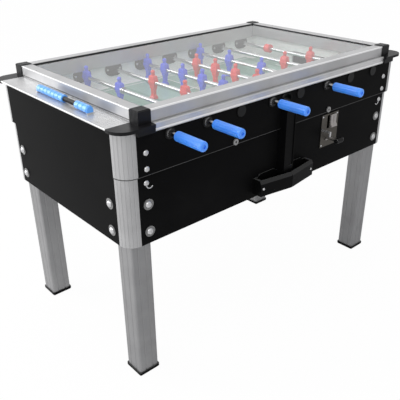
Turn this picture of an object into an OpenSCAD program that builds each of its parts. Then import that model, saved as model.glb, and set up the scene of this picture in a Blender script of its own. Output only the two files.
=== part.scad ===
// Coin-operated table football with a glass top and telescopic rods.
// Millimetres. +Z is up, X runs along the table, Y across it. The origin is on the
// floor under the middle of the table. The players' near side is -Y.

/* [Cabinet] */
// Length of the upper cabinet over its corner columns
cab_l = 1400; // [1396:1:1404]
// Width of the upper cabinet over its corner columns
cab_w = 784; // [782:1:786]
// Height of the cabinet's bottom edge above the floor
leg_show = 545; // [450:5:600]
// Height of the lower cabinet
lower_h = 237; // [230:1:250]
// Height of the upper cabinet's long panels with their base trim
upper_h = 133; // [131:1:135]
// Gap between the two cabinets when the upper one is shut
seam_gap = 2; // [1.5:0.5:3]
// How far the lower cabinet's ends stand back from the upper ones
inset_x = 6; // [4:1:8]
// How far the lower cabinet's long sides stand back from the upper ones
inset_y = 10; // [8:1:12]
// Thickness of the upper cabinet's boards
board_t = 20; // [18:1:20]
// Thickness of the lower cabinet's boards
lower_board_t = 22; // [20:1:22]
// Radius of the upper corner columns
column_r = 53; // [50:1:54]
// Radius of the lower corner columns
lower_column_r = 50; // [48:1:52]

/* [Legs] */
// Width of a square leg
leg_w = 80; // [76:1:84]
// Wall of a leg
leg_wall = 4; // [3:0.5:5]
// How far a foot cap reaches past its leg on each side
foot_lip = 3; // [2:0.5:6]
// Height of a foot cap
foot_h = 13; // [10:1:20]

/* [Top] */
// Height of the long top rails
rail_h = 26; // [24:1:28]
// Height of the raised glass frame above the rails
frame_h = 39; // [38:1:44]
// Width of the raised frame's top face
frame_w = 41; // [40:1:42]
// How far the end shelves and corner caps reach past the cabinet's ends
shelf_over = 17; // [12:1:20]
// How far the corner caps reach past the cabinet's long sides
cap_over = 19; // [17:1:20]
// Thickness of the glass
glass_t = 5; // [4:1:5]

/* [Rods] */
// Distance from each end of the field to the goalkeeper's rod
keeper_gap = 85; // [80:1:90]
// Height of the rods above the field
rod_over_field = 71; // [70:1:72]
// Outer diameter of a rod's tube
tube_d = 16; // [15:1:16]
// Diameter of the telescopic inner rod
inner_d = 12; // [11:1:12]
// Players on each rod, from the left end of the table
men_on_rod = [1, 2, 3, 5, 5, 3, 2, 1];
// Side of each rod's grip, -1 near and 1 far
grip_side = [-1, -1, 1, -1, 1, -1, 1, 1];
// How far each rod is drawn out from fully pushed in
drawn_out = [0, 0, 26, 0, 29, 0, 38, 2];
// Distance between an outermost player at its stop and the wall behind it
man_clear = 40; // [38:1:48]
// Distance between the players of a two-player rod
pitch_of_two = 232; // [220:1:240]
// Distance between the players of a three-player rod
pitch_of_three = 192; // [180:1:200]
// Distance between the players of a five-player rod
pitch_of_five = 118; // [112:1:122]

/* [Grips and players] */
// Diameter of a grip
grip_d = 32; // [30:1:34]
// Length of a grip
grip_l = 121; // [110:1:126]
// Distance between the cabinet's long side and a grip's inner end
grip_gap = 36; // [30:1:40]
// Height of a player's head top above its rod
man_head = 47; // [44:1:48]
// Depth of a player's foot below its rod
man_foot = 66; // [62:1:66]
// Width of a player across the shoulders
man_w = 33; // [30:1:34]
// Depth of a player's body from back to front
man_d = 24; // [22:1:26]

/* [Field] */
// Depth of the space for balls between an end of the field and the end board
end_pocket = 70; // [64:1:76]
// Height of a goal mouth
goal_h = 58; // [50:1:64]
// Width of a goal mouth
goal_w = 200; // [180:5:204]
// Diameter of the balls that the openings pass
ball_d = 34; // [32:1:35]

/* [Score counters] */
// Diameter of a score bead
bead_d = 26; // [22:1:26]
// Length of a score bead
bead_l = 24; // [22:1:24]

/* [Hidden] */
$fn = 48;
running = 0.06;      // radial clearance of a shaft that turns or slides
snug = 0.03;         // radial clearance of a piece that is pressed on a shaft
hair = 0.5;          // gap between neighbouring pieces that must not touch
TEAM_NEAR = "royalblue";
TEAM_FAR = "firebrick";
ALU = "silver";
BLACK = [0.07, 0.07, 0.08];

// Outer half sizes
half_l = cab_l / 2;
half_w = cab_w / 2;
low_l = half_l - inset_x;
low_w = half_w - inset_y;

// Heights
z_low0 = leg_show;
z_low1 = z_low0 + lower_h;
z_up0 = z_low1 + seam_gap;
z_rail0 = z_up0 + upper_h;
z_rail1 = z_rail0 + rail_h;
z_top = z_rail1 + frame_h;
trim_h = 1.5;

// Field, walls and rods
field_half = half_l - board_t - end_pocket;
wall_t = 8;
wall_gap = 0.2;
wall_y = half_w - board_t - wall_t;
man_limit = wall_y - man_clear;
grip_start = half_w + grip_gap;
z_rod = z_rail0 - 20;
z_field = z_rod - rod_over_field;
field_t = 10;
rod_count = len(men_on_rod);
rod_pitch = 2 * (field_half - keeper_gap) / (rod_count - 1);
batten_x = field_half - end_pocket;
batten_w = 30;
batten_h = 9;
cleat_h = 26;

// Legs
leg_x0 = low_l - lower_board_t - leg_w;
leg_x1 = leg_x0 + leg_w;
leg_y1 = low_w - lower_board_t;
leg_y0 = leg_y1 - leg_w;
leg_cx = (leg_x0 + leg_x1) / 2;
leg_cy = (leg_y0 + leg_y1) / 2;
leg_top = z_low1 - 17;
foot_w = leg_w + 2 * foot_lip;

// Large bolts that hold the legs
bolt_low = 43;
bolt_rise = 95;
bolt_z = [z_low0 + bolt_low, z_low0 + bolt_low + bolt_rise];
bolt_x = leg_x0 + 18;
bolt_y = leg_y0 + 18;
bolt_r = 5;
washer_r = 18.5;
washer_t = 2.5;

// Small knob on the right end board
side_knob_y = -leg_cy - 5;
side_knob_z = z_low1 - 37;
side_knob_shank = 3;

// Glass frame
frame_y1 = half_w - 6;
frame_y0 = frame_y1 - frame_w;
frame_reach = 21;
frame_x0 = field_half - frame_reach;
frame_x1 = frame_x0 + frame_w;
skirt_t = 4;
skirt_end_z = z_rail0 + 9;
rail_y0 = wall_y + 1;
rail_y1 = half_w + 8;
rail_lip = 4.5;
rail_step = 1.5;
shelf_t = 6;
shelf_x1 = half_l + shelf_over;
cap_t = 10;
cap_y0 = frame_y0;
cap_y1 = half_w + cap_over;
cap_r = 50;
post_over = 3;
post_bevel = 3;
post_x0 = frame_x0 - post_over + 1;
cap_skirt_x0 = post_x0 - 2;
base_groove = [3, 1.6];
glass_z0 = z_top - 9.5;
glass_edge = 25;

// Bearings of the rods
flange_t = 6;
flange_y0 = wall_y - flange_t;
flange_l = 80;
flange_w = 55;
barrel_r = 13;
collar_r = 19;
plug_r = 19.5;
collar_t = 4;
nose_r = 10.4;
nose_t = 11;
ring_r = 13.5;
ring_t = 7;
screw_pitch = 60;
plug_skin = 4;

// Flutes of a grip
grip_edge = 6;
flute_count = 10;
flute_r = 3;
flute_depth = 0.9;
flute_margin = 9;

// Players
man_head_r = 8.5;
man_boss_r = 12.5;
man_corner = 6.5;

// Stops and travel of the rods
boss_half = 17;
stop_t = 8;
stop_r = 13;
sleeve_r = 10.5;
stop_reach = flange_y0 - man_limit - 1;
goalie_stop = 250;
goalie_stop_r = 19;
goalie_stop_half = 14;
tube_end_in_grip = 8;
inner_reach = 300;

// Ball return, chute and coin slide
tray_half = 145;
tray_y = -low_w - 62;
tray_sweep = 22;
tray_turn = atan(tray_sweep / tray_half);
tray_screw_x = 132;
tray_screw_z = 28;
tray_z0 = z_low0 + 17;
tray_z1 = z_low0 + 77;
tray_wall = 10;
tray_edge_h = 12;
tray_edge_d = 6;
chute_half = 25;
chute_y = -low_w - 39;
chute_z1 = z_up0 + 80;
port_z = z_rod - 7;
port_r = ball_d / 2 + 1.5;
plate_x0 = 229;
plate_x1 = 332;
plate_z1 = z_low1 - 11;
plate_h = 134;
plate_z0 = plate_z1 - plate_h;
plate_t = 3;
plate_edge = 8;
plate_screw_r = 3.8;
plate_margin = 15;
wedge_h = 54;
wedge_t = 6;
wedge_lip = 12;
slot_w = 3;
slot_h = 27;
slide_z = plate_z0 + 33;
slide_ledge = 6;
push_travel = 35;
handle_r = 10;
handle_y = -low_w - plate_t - slide_ledge - push_travel - handle_r - 1;
slide_x = [262, 284];
slide_bar = [8, 4];
slide_gap = 0.3;
run_half = ball_d / 2 + 6;
run_wall = 3;
run_front = -low_w + lower_board_t;
run_mid_z = z_low1 - 72;
run_out_z = tray_z0 + 14;
run_slope = (run_mid_z - run_out_z) / (run_half - run_front);
hopper_z = z_low1 - 40;
hopper_x0 = field_half - 10;
hopper_half = goal_w / 2 + 12;
gate_y = run_front + 60;
gate_z = run_out_z + 60 * run_slope + 48;
gate_flap = 46;
gate_arm = 40;
gate_pin_r = 4;
gate_shaft_r = 5;
slide_tail_y = gate_y - gate_pin_r - 0.8;

// Small dome screws of the upper cabinet
screw_x = field_half + wall_t / 2;
screw_z = [z_up0 + 21, z_up0 + 73];
screw_r = 2.5;
hook_r = 12;
hook_drop = 25;

// Locks and hinges of the upper cabinet
lock_x = 250;
lock_z = z_up0 + 11;
lock_r = 8;
hinge_x = 400;
hinge_y = half_w + 6.5;
hinge_z = z_low1 + seam_gap / 2;
hinge_r = 5.5;
hinge_pin_r = 2.5;
hinge_l = 90;

// Score counters
score_x = half_l - 23;
score_z = z_rail1 + bead_d / 2 + 0.5;
score_bar_r = 8;
score_far_y = 116;
score_gap = 77;
score_far_count = 7;
score_near_count = 3;
score_end = 1;
score_lug_t = 3;
score_lug_r = 11;
score_y1 = score_far_y + score_end;
score_y0 = score_far_y - bead_l * (score_far_count + score_near_count) - score_gap - score_end;

// ---------------------------------------------------------------- helpers

// A block between two corners
module block(lo, hi) { translate(lo) cube(hi - lo); }

// A round bar along Y, at x and z
module bar_y(r, y0, y1, x = 0, z = 0) {
    translate([x, min(y0, y1), z]) rotate([-90, 0, 0]) cylinder(r = r, h = abs(y1 - y0));
}

// A round bar along X, at y and z
module bar_x(r, x0, x1, y = 0, z = 0) {
    translate([x0, y, z]) rotate([0, 90, 0]) cylinder(r = r, h = x1 - x0);
}

// A rectangle with round corners, centred
module round_rect(w, h, r) {
    square([w - 2 * r, h], center = true);
    square([w, h - 2 * r], center = true);
    for (x = [-1, 1], y = [-1, 1])
        translate([x * (w / 2 - r), y * (h / 2 - r)]) circle(r);
}

// Children in all four quarters of the table, drawn for +X +Y
module corners() {
    for (mx = [0, 1], my = [0, 1])
        mirror([mx, 0, 0]) mirror([0, my, 0]) children();
}

// Children on both long sides, drawn for +Y
module sides() { for (my = [0, 1]) mirror([0, my, 0]) children(); }

// Children on both ends, drawn for +X
module ends() { for (mx = [0, 1]) mirror([mx, 0, 0]) children(); }

// A section drawn in Y and Z, pulled along X
module along_x(x0, x1) {
    translate([x0, 0, 0]) rotate([90, 0, 90]) linear_extrude(x1 - x0) children();
}

// A section drawn in X and Z, pulled along Y
module along_y(y0, y1) {
    translate([0, y1, 0]) rotate([90, 0, 0]) linear_extrude(y1 - y0) children();
}

// A round-headed screw that points into +Z from z = 0, its head below
module dome_screw(head_r, head_h, shank_r, shank_l) {
    ball_r = (head_r * head_r + head_h * head_h) / (2 * head_h);
    rotate_extrude() {
        intersection() {
            translate([0, ball_r - head_h]) circle(ball_r);
            translate([0, -head_h]) square([head_r, head_h]);
        }
        square([shank_r, shank_l]);
    }
}

// ---------------------------------------------------------------- lower cabinet

// Outline of a leg with two shallow flutes on each face
module leg_outline() {
    difference() {
        round_rect(leg_w, leg_w, 8);
        for (a = [0 : 90 : 270], s = [-1, 1])
            rotate(a) translate([leg_w / 2 + 1, s * 15]) circle(2.5);
    }
}

module legs() {
    color(ALU) corners() difference() {
        translate([leg_cx, leg_cy, foot_h]) linear_extrude(leg_top - foot_h)
            difference() {
                leg_outline();
                round_rect(leg_w - 2 * leg_wall, leg_w - 2 * leg_wall, 5);
            }
        for (z = bolt_z) {
            bar_y(bolt_r + running, leg_y1 - 10, leg_y1 + 1, bolt_x, z);
            bar_x(bolt_r + running, leg_x1 - 10, leg_x1 + 1, bolt_y, z);
        }
    }
}

// A cap under each leg, with a plug that stands inside the tube
module foot_caps() {
    plug_w = leg_w - 2 * leg_wall - 2 * hair;
    color(BLACK) corners() translate([leg_cx, leg_cy, 0]) {
        linear_extrude(3) round_rect(foot_w - 4, foot_w - 4, 5);
        translate([0, 0, 3]) linear_extrude(foot_h - 3) round_rect(foot_w, foot_w, 6);
        translate([0, 0, foot_h]) linear_extrude(30) difference() {
            round_rect(plug_w, plug_w, 4.5);
            round_rect(plug_w - 8, plug_w - 8, 3);
        }
    }
}

// Quarter-round section with shallow flutes on its curved face
module fluted_quarter(r) {
    difference() {
        intersection() { circle(r, $fn = 96); square(r); }
        for (a = [15 : 15 : 75])
            rotate(a) translate([r + 1, 0]) circle(2);
    }
}

module lower_columns() {
    r = lower_column_r;
    color(ALU) corners() translate([0, 0, z_low0]) linear_extrude(lower_h)
        difference() {
            translate([low_l - r, low_w - r]) fluted_quarter(r);
            translate([low_l - r - 1, low_w - r - 1])
                square([leg_x1 - low_l + r + 1, leg_y1 - low_w + r + 1]);
        }
}

// Two long boards, two end boards and the base board; the front board has a window
// for the balls and one for the coin slide
module lower_panels() {
    color(BLACK) {
        difference() {
            lower_long_boards();
            block([-run_half, -low_w - 1, tray_z0 + 12],
                  [run_half, run_front + 1, run_out_z + ball_d + 8]);
            block([plate_x0 + 30, -low_w - 1, plate_z0 + plate_margin],
                  [plate_x1 - 26, run_front + 1, plate_z1 - 6]);
            coin_plate_screw_holes(-low_w - 1, -low_w + 11);
        }
        lower_end_boards();
        base_board();
    }
}

module lower_long_boards() {
    x1 = low_l - lower_column_r;
    sides() difference() {
        block([-x1, low_w - lower_board_t, z_low0], [x1, low_w, z_low1]);
        for (s = [-1, 1], z = bolt_z)
            bar_y(bolt_r + running, low_w - lower_board_t - 1, low_w + 1, s * bolt_x, z);
    }
}

module lower_end_boards() {
    y1 = low_w - lower_column_r;
    x0 = low_l - lower_board_t;
    difference() {
        ends() block([x0, -y1, z_low0], [low_l, y1, z_low1]);
        for (s = [-1, 1], z = bolt_z)
            bar_x(bolt_r + running, -low_l - 1, low_l + 1, s * bolt_y, z);
        bar_x(side_knob_shank + running, x0 - 1, low_l + 1, side_knob_y, side_knob_z);
    }
}

module coin_plate_screw_holes(y0, y1) {
    for (x = [plate_x0 + plate_edge, plate_x1 - plate_edge], z = [plate_z0 + plate_edge, plate_z1 - plate_edge])
        bar_y(2 + running, y0, y1, x, z);
}

// Base board, notched round the legs
module base_board() {
    difference() {
        block([-leg_x1, -leg_y1, z_low0], [leg_x1, leg_y1, z_low0 + 12]);
        corners() block([leg_x0 - hair, leg_y0 - hair, z_low0 - 1], [leg_x1 + 1, leg_y1 + 1, z_low0 + 13]);
    }
}

// One large bolt through board and leg wall, drawn along +Z from the board's face
module leg_bolt() {
    reach = washer_t + lower_board_t + leg_wall;
    dome_screw(12, 8, bolt_r, reach + 10);
    difference() {
        cylinder(r = washer_r, h = washer_t);
        translate([0, 0, -1]) cylinder(r = bolt_r + snug, h = washer_t + 2);
    }
    translate([0, 0, reach + hair]) difference() {
        cylinder(r = 9, h = 8, $fn = 6);
        translate([0, 0, -1]) cylinder(r = bolt_r + snug, h = 10);
    }
}

// Steel pieces of the lower cabinet: bolts, washers, nuts, screws and hinge leaves
module lower_fixings() {
    color("gainsboro") {
        corners() for (z = bolt_z) {
            translate([bolt_x, low_w + washer_t, z]) rotate([90, 0, 0]) leg_bolt();
            translate([low_l + washer_t, bolt_y, z]) rotate([0, -90, 0]) leg_bolt();
        }
        ends() translate([screw_x, -low_w, z_low1 - hook_drop]) corner_hook();
        for (s = [-1, 1]) at_tray_screw(s) dome_screw(5, 3, 2, tray_wall - 2);
        for (x = [plate_x0 + plate_edge, plate_x1 - plate_edge], z = [plate_z0 + plate_edge, plate_z1 - plate_edge])
            translate([x, -low_w - plate_t, z]) rotate([-90, 0, 0])
                dome_screw(plate_screw_r, 2.5, 2, plate_t + 10);
        translate([low_l, side_knob_y, side_knob_z]) rotate([0, -90, 0])
            dome_screw(8, 7, side_knob_shank, lower_board_t - 2);
        coin_guard();
        for (s = [-1, 1]) translate([s * hinge_x, 0, 0]) lower_leaf();
    }
}

// A dome screw that carries a small curved hook, on the front board
module corner_hook() {
    rotate([-90, 0, 0]) translate([0, 0, -3]) dome_screw(9.5, 6, 3, 3);
    translate([-hook_r, -2, -8]) rotate([90, 0, 0])
        rotate_extrude(angle = -150) translate([hook_r, 0]) circle(2);
}

// Lower hinge leaf with its packer, two knuckles and the pin
module lower_leaf() {
    knuckle = hinge_l / 3;
    block([-hinge_l / 2, low_w, z_low1 - 45], [hinge_l / 2, half_w, z_low1 - 4]);
    difference() {
        union() {
            block([-hinge_l / 2, half_w, z_low1 - 45], [hinge_l / 2, half_w + 3, z_low1 - 7]);
            for (s = [-1, 1]) {
                x0 = s < 0 ? -hinge_l / 2 : hinge_l / 2 - knuckle + hair;
                block([x0, half_w, z_low1 - 8], [x0 + knuckle - hair, half_w + 3, hinge_z]);
                bar_x(hinge_r, x0, x0 + knuckle - hair, hinge_y, hinge_z);
            }
        }
        bar_x(hinge_pin_r + snug, -hinge_l, hinge_l, hinge_y, hinge_z);
    }
    bar_x(hinge_pin_r, -hinge_l / 2 - 2, hinge_l / 2 + 2, hinge_y, hinge_z);
}

// ---------------------------------------------------------------- balls and coins

// Front of the tray at x: each half runs back from the middle to its end
function tray_front(x) = tray_y + tray_sweep * abs(x) / tray_half;

// Plan of the tray, its walls moved in by inset, with its back at y1
module tray_plan(inset, y1) {
    x1 = tray_half - inset;
    y0 = tray_front(tray_half) + inset;
    polygon([[-x1, y1], [-x1, y0], [0, tray_y + inset], [x1, y0], [x1, y1]]);
}

// Children at one of the tray's two front screws, with +Z into the wall
module at_tray_screw(s) {
    translate([s * tray_screw_x, tray_front(tray_screw_x), tray_z0 + tray_screw_z])
        rotate([0, 0, s * tray_turn]) rotate([-90, 0, 0]) children();
}

// Tray with a pocket on each side, and the tall chute cover above it
module ball_return() {
    inner_z = tray_z0 + tray_wall;
    lip_w = tray_half - chute_half - 30;
    lip_h = 30;
    pocket_y1 = -low_w - 4;
    color(BLACK) {
        difference() {
            union() {
                translate([0, 0, tray_z0]) linear_extrude(tray_z1 - tray_z0) tray_plan(0, -low_w);
                for (s = [-1, 1])
                    translate([s * (chute_half + 5 + lip_w / 2), 0, tray_z1 + 9 - lip_h / 2])
                        along_y(pocket_y1, -low_w) round_rect(lip_w, lip_h, 10);
            }
            translate([0, 0, inner_z]) linear_extrude(tray_z1) tray_plan(tray_wall, pocket_y1);
            block([-run_half, pocket_y1 - 1, inner_z], [run_half, -low_w + 1, run_out_z + ball_d + 4]);
            block([-1, tray_y - 1, tray_z0 - 1], [1, tray_y + 2, tray_z1 + 1]);
            for (s = [-1, 1]) at_tray_screw(s)
                translate([0, 0, -1]) cylinder(r = 2 + running, h = tray_wall);
            for (s = [-1, 1]) tray_bevel(s);
        }
        chute_cover();
    }
}

// Wedge that bevels the top edge of one half of the tray's front
module tray_bevel(s) {
    reach = tray_half + tray_wall;
    translate([0, tray_y, tray_z1]) rotate([0, 0, s * tray_turn])
        along_x(min(0, s * reach), max(0, s * reach)) polygon([
            [-1, -tray_edge_h * (1 + 1 / tray_edge_d)], [tray_edge_d * (1 + 1 / tray_edge_h), 1],
            [-1, 1]]);
}

// Hollow chute cover, open at the back and at its lower end
module chute_cover() {
    z0 = tray_z1 - 10;
    wall = 3;
    back = -low_w;
    difference() {
        block([-chute_half, chute_y, z0], [chute_half, back, chute_z1]);
        block([-chute_half + wall, chute_y + 2 * wall, z0 - 1],
              [chute_half - wall, back + 1, chute_z1 - wall]);
        block([2, chute_y - 1, z0 + 30], [chute_half - wall, chute_y + wall, chute_z1 - 8]);
        block([-chute_half - 1, -half_w - hair * 2, z_low1 - 1],
              [chute_half + 1, back + 1, chute_z1 + 1]);
    }
}

// Steel coin plate with a window, a wedge-shaped slot block and a ledge under the slide
module coin_plate() {
    y0 = -low_w - plate_t;
    window = [plate_x0 + 34, plate_x0 + 48];
    wedge = [plate_x0 + 50, plate_x0 + 84];
    wedge_z1 = plate_z1 - 6;
    slot_x = (wedge[0] + wedge[1] - slot_w) / 2;
    color("gray") difference() {
        union() {
            block([plate_x0, y0, plate_z0], [plate_x1, -low_w, plate_z1]);
            translate([0, y0, wedge_z1]) along_x(wedge[0], wedge[1]) polygon([
                [1, 0], [-wedge_t, 0], [-wedge_t, 18 - wedge_h], [-wedge_lip, 8 - wedge_h],
                [-wedge_lip, 4 - wedge_h], [1, -wedge_h]]);
            block([slide_x[0] - 4, y0 - slide_ledge, slide_z - 5],
                  [slide_x[1] + slide_bar[0] + 4, y0, slide_z - slide_gap]);
        }
        block([window[0], y0 - 1, wedge_z1 - wedge_h], [window[1], -low_w + 1, wedge_z1]);
        block([slot_x, y0 - wedge_t - 1, wedge_z1 - 6 - slot_h],
              [slot_x + slot_w, -low_w + 1, wedge_z1 - 6]);
        for (x = slide_x)
            block([x - slide_gap, y0 - slide_ledge - 1, slide_z - slide_gap],
                  [x + slide_bar[0] + slide_gap, -low_w + 1, slide_z + slide_bar[1] + slide_gap]);
        coin_plate_screw_holes(y0 - 1, -low_w + 1);
    }
}

// Bent guard arm on the coin plate
module coin_guard() {
    x = [plate_x0 + 2, plate_x0 + 11];
    y0 = -low_w - plate_t;
    arm_y = y0 - 40;
    arm_z = plate_z1 - 62;
    block([x[0], arm_y, arm_z], [x[1], y0, arm_z + 5]);
    block([x[0], arm_y, arm_z - 15], [x[1], arm_y + 4, arm_z + 5]);
}

// Two flat bars with a round push handle in front and an upright finger at each tail
module coin_slide() {
    color("gray") for (x = slide_x) {
        block([x, handle_y, slide_z], [x + slide_bar[0], slide_tail_y, slide_z + slide_bar[1]]);
        block([x, slide_tail_y - 5, slide_z],
              [x + slide_bar[0], slide_tail_y, gate_z + gate_arm + 2 * gate_pin_r]);
    }
    color(BLACK)
        bar_x(handle_r, slide_x[0] - 3, slide_x[1] + slide_bar[0] + 3, handle_y, slide_z + 2);
}

// Cross shaft with a gate flap in the ball run and an arm whose pin meets the fingers
module ball_gate() {
    arm_x = (slide_x[0] + slide_x[1] + slide_bar[0]) / 2;
    color("gray") {
        bar_x(gate_shaft_r, -run_half - 12, arm_x + 30, gate_y, gate_z);
        block([-run_half + 5, gate_y - 2.5, gate_z - gate_flap], [run_half - 5, gate_y + 2.5, gate_z]);
        block([arm_x - 3, gate_y - 3, gate_z], [arm_x + 3, gate_y + 3, gate_z + gate_arm]);
        bar_x(gate_pin_r, arm_x - 14, arm_x + 14, gate_y, gate_z + gate_arm);
    }
}

// Half section of the cross run in X and Z; lift raises it, high is its wall height
module cross_run_section(reach, lift, high) {
    rise = hopper_z - run_mid_z;
    polygon([[-reach, run_mid_z + rise + lift], [0, run_mid_z + lift], [reach, run_mid_z + rise + lift],
        [reach, run_mid_z + rise + high], [0, run_mid_z + high], [-reach, run_mid_z + rise + high]]);
}

// Section in Y and Z of the run to the front board
module front_run_section(y0, y1, lift, high) {
    z0 = run_out_z + (y0 - run_front) * run_slope;
    z1 = run_out_z + (y1 - run_front) * run_slope;
    polygon([[y0, z0 + lift], [y1, z1 + lift], [y1, z1 + high], [y0, z0 + high]]);
}

// Open channels for the balls, from a hopper under each goal to the front board
module ball_runs() {
    half = run_half + run_wall;
    hopper_x1 = low_l - lower_board_t;
    bracket_x = slide_x[1] + slide_bar[0] + 4;
    color(BLACK) {
        difference() {
            union() {
                along_y(-half, half) cross_run_section(hopper_x0 + 2, -run_wall, 34);
                along_x(-half, half) front_run_section(run_front, half, -run_wall, 56);
                ends() block([hopper_x0, -hopper_half, hopper_z - run_wall],
                             [hopper_x1, hopper_half, z_low1 - 2]);
            }
            along_y(-run_half, run_half) cross_run_section(hopper_x0 + 4, 0, 80);
            along_x(-run_half, run_half) front_run_section(run_front - 1, run_half, 0, 90);
            ends() along_x(hopper_x0 + run_wall, hopper_x1 - run_wall) hopper_section();
            bar_x(gate_shaft_r + running, -half - 1, half + 1, gate_y, gate_z);
        }
        difference() {
            block([bracket_x, run_front, gate_z - 10], [bracket_x + 6, gate_y + 10, gate_z + 10]);
            bar_x(gate_shaft_r + running, bracket_x - 1, bracket_x + 7, gate_y, gate_z);
        }
    }
}

// Inner section of a hopper in Y and Z, with a floor that falls to the run
module hopper_section() {
    y1 = hopper_half - run_wall;
    polygon([[-y1, hopper_z + 16], [-run_half, hopper_z], [run_half, hopper_z], [y1, hopper_z + 16],
        [y1, z_low1], [-y1, z_low1]]);
}

// ---------------------------------------------------------------- upper cabinet

// Corner columns, and the trims under the long boards
module upper_columns() {
    r = column_r;
    inner_y = half_w - board_t;
    color(ALU) {
        corners() translate([0, 0, z_up0]) linear_extrude(z_rail1 - cap_t - z_up0) difference() {
            translate([half_l - r, half_w - r]) fluted_quarter(r);
            translate([half_l - r - 1, half_w - r - 1]) square([r + 1 - board_t, r + 1 - board_t]);
        }
        sides() block([-(half_l - r - hair), inner_y, z_up0], [half_l - r - hair, half_w, z_up0 + trim_h]);
    }
}

// X position of a rod, counted from 0 at the left end
function rod_x(i) = (i - (rod_count - 1) / 2) * rod_pitch;

// Two long boards with the rod holes and two end boards
module upper_panels() {
    r = column_r;
    inner_y = half_w - board_t;
    color(BLACK) {
        difference() {
            sides() block([-(half_l - r), inner_y, z_up0 + trim_h], [half_l - r, half_w, z_rail0]);
            for (i = [0 : rod_count - 1])
                bar_y(barrel_r + running, -half_w - 1, half_w + 1, rod_x(i), z_rod);
            for (s = [-1, 1]) {
                bar_y(lock_r + running, -half_w - 1, -inner_y + 1, s * lock_x, lock_z);
                for (z = screw_z) bar_y(screw_r + running, -half_w - 1, half_w + 1, s * screw_x, z);
            }
            bar_y(port_r + 3 + running, -half_w - 1, -inner_y + 1, 0, port_z);
        }
        ends() block([half_l - board_t, -(half_w - r), z_up0],
                     [half_l, half_w - r, z_rail1 - shelf_t]);
    }
}

// Field board with battens and corner cleats below, ramps along the long walls and in the corners
module playfield() {
    edge = half_w - board_t;
    z0 = z_field - field_t;
    color("seagreen") {
        block([-field_half - wall_t, -edge, z0], [field_half + wall_t, edge, z_field]);
        sides() block([-batten_x, edge - batten_w, z0 - batten_h], [batten_x, edge, z0]);
        corners() difference() {
            block([screw_x - 24, edge - batten_w, z0 - cleat_h], [screw_x + 26, edge, z0]);
            bar_y(screw_r + running, edge - batten_w - 1, edge + 1, screw_x, screw_z[0]);
        }
    }
    color("white") {
        sides() along_x(-field_half, field_half) ramp_section(wall_y, 19, 6);
        corners() intersection() {
            along_x(field_half - 70, field_half) ramp_section(wall_y, 70, 14);
            along_y(wall_y - 70, wall_y) ramp_section(field_half, 70, 14);
        }
    }
}

// Wedge that rises towards the wall at a
module ramp_section(a, w, h) { polygon([[a - w, z_field], [a, z_field], [a, z_field + h]]); }

// Light liners along the sides and the end walls with the goal mouths
module inner_walls() {
    edge = half_w - board_t;
    color("whitesmoke") {
        difference() {
            sides() block([-field_half + wall_gap, wall_y, z_field], [field_half - wall_gap, edge, z_rail0]);
            for (i = [0 : rod_count - 1]) {
                bar_y(barrel_r + running, -edge - 1, edge + 1, rod_x(i), z_rod);
                for (s = [-1, 1])
                    bar_y(2 + running, -edge - 1, edge + 1, rod_x(i) + s * screw_pitch / 2, z_rod);
            }
            bar_y(port_r + 3 + running, -edge - 1, -wall_y + 1, 0, port_z);
        }
        ends() end_wall(edge);
    }
}

// End wall of the field: a board on each side of the goal mouth and a lintel over it
module end_wall(edge) {
    x1 = field_half + wall_t;
    z1 = z_rail1 - shelf_t;
    difference() {
        for (my = [0, 1]) mirror([0, my, 0]) {
            block([field_half, goal_w / 2, z_field], [x1, edge, z_rail0]);
            block([field_half, goal_w / 2, z_rail0 - 1], [x1, cap_y0 - 5, z1]);
        }
        bar_y(screw_r + running, -edge - 1, edge + 1, screw_x, screw_z[1]);
    }
    block([field_half, -goal_w / 2 + wall_gap, z_field + goal_h], [x1, goal_w / 2 - wall_gap, z1]);
}

// Goal pockets behind the end walls, and the throw-in port of the near side
module ball_guides() {
    wall = 3;
    x0 = field_half + wall_t;
    x1 = half_l - board_t - 3;
    half = goal_w / 2 + 6;
    z1 = z_field + goal_h + 6;
    color(BLACK) {
        ends() difference() {
            block([x0, -half - wall, z_up0 + 3], [x1, half + wall, z1]);
            block([x0 - 1, -half, z_up0], [x1 - wall, half, z1 - wall]);
        }
        difference() {
            union() {
                bar_y(port_r + 3, -half_w - 4, -wall_y, 0, port_z);
                bar_y(port_r + 7, -half_w - 6, -half_w, 0, port_z);
            }
            bar_y(port_r, -half_w - 8, -wall_y + 1, 0, port_z);
        }
    }
}

// One bearing for the +Y wall at the origin's x and z; open lets a tube through
module bearing(open) {
    skin = open ? 0 : plug_skin;
    difference() {
        union() {
            along_y(flange_y0, wall_y) {
                square([flange_l - flange_w, flange_w], center = true);
                for (s = [-1, 1]) translate([s * (flange_l - flange_w) / 2, 0]) circle(flange_w / 2);
            }
            bar_y(barrel_r, wall_y - 1, half_w + 1);
            bar_y(open ? collar_r : plug_r, half_w, half_w + collar_t);
            if (open) bar_y(nose_r, half_w, half_w + nose_t);
        }
        bar_y((open ? tube_d : inner_d) / 2 + running, flange_y0 - 1,
              open ? half_w + nose_t + 1 : half_w + collar_t - skin);
        for (s = [-1, 1]) bar_y(2 + snug, flange_y0 - 1, wall_y + 1, s * screw_pitch / 2, 0);
    }
}

module rod_bearings() {
    color(BLACK) for (i = [0 : rod_count - 1], my = [0, 1])
        mirror([0, my, 0]) translate([rod_x(i), 0, z_rod])
            bearing(my == 0 ? grip_side[i] > 0 : grip_side[i] < 0);
}

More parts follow.
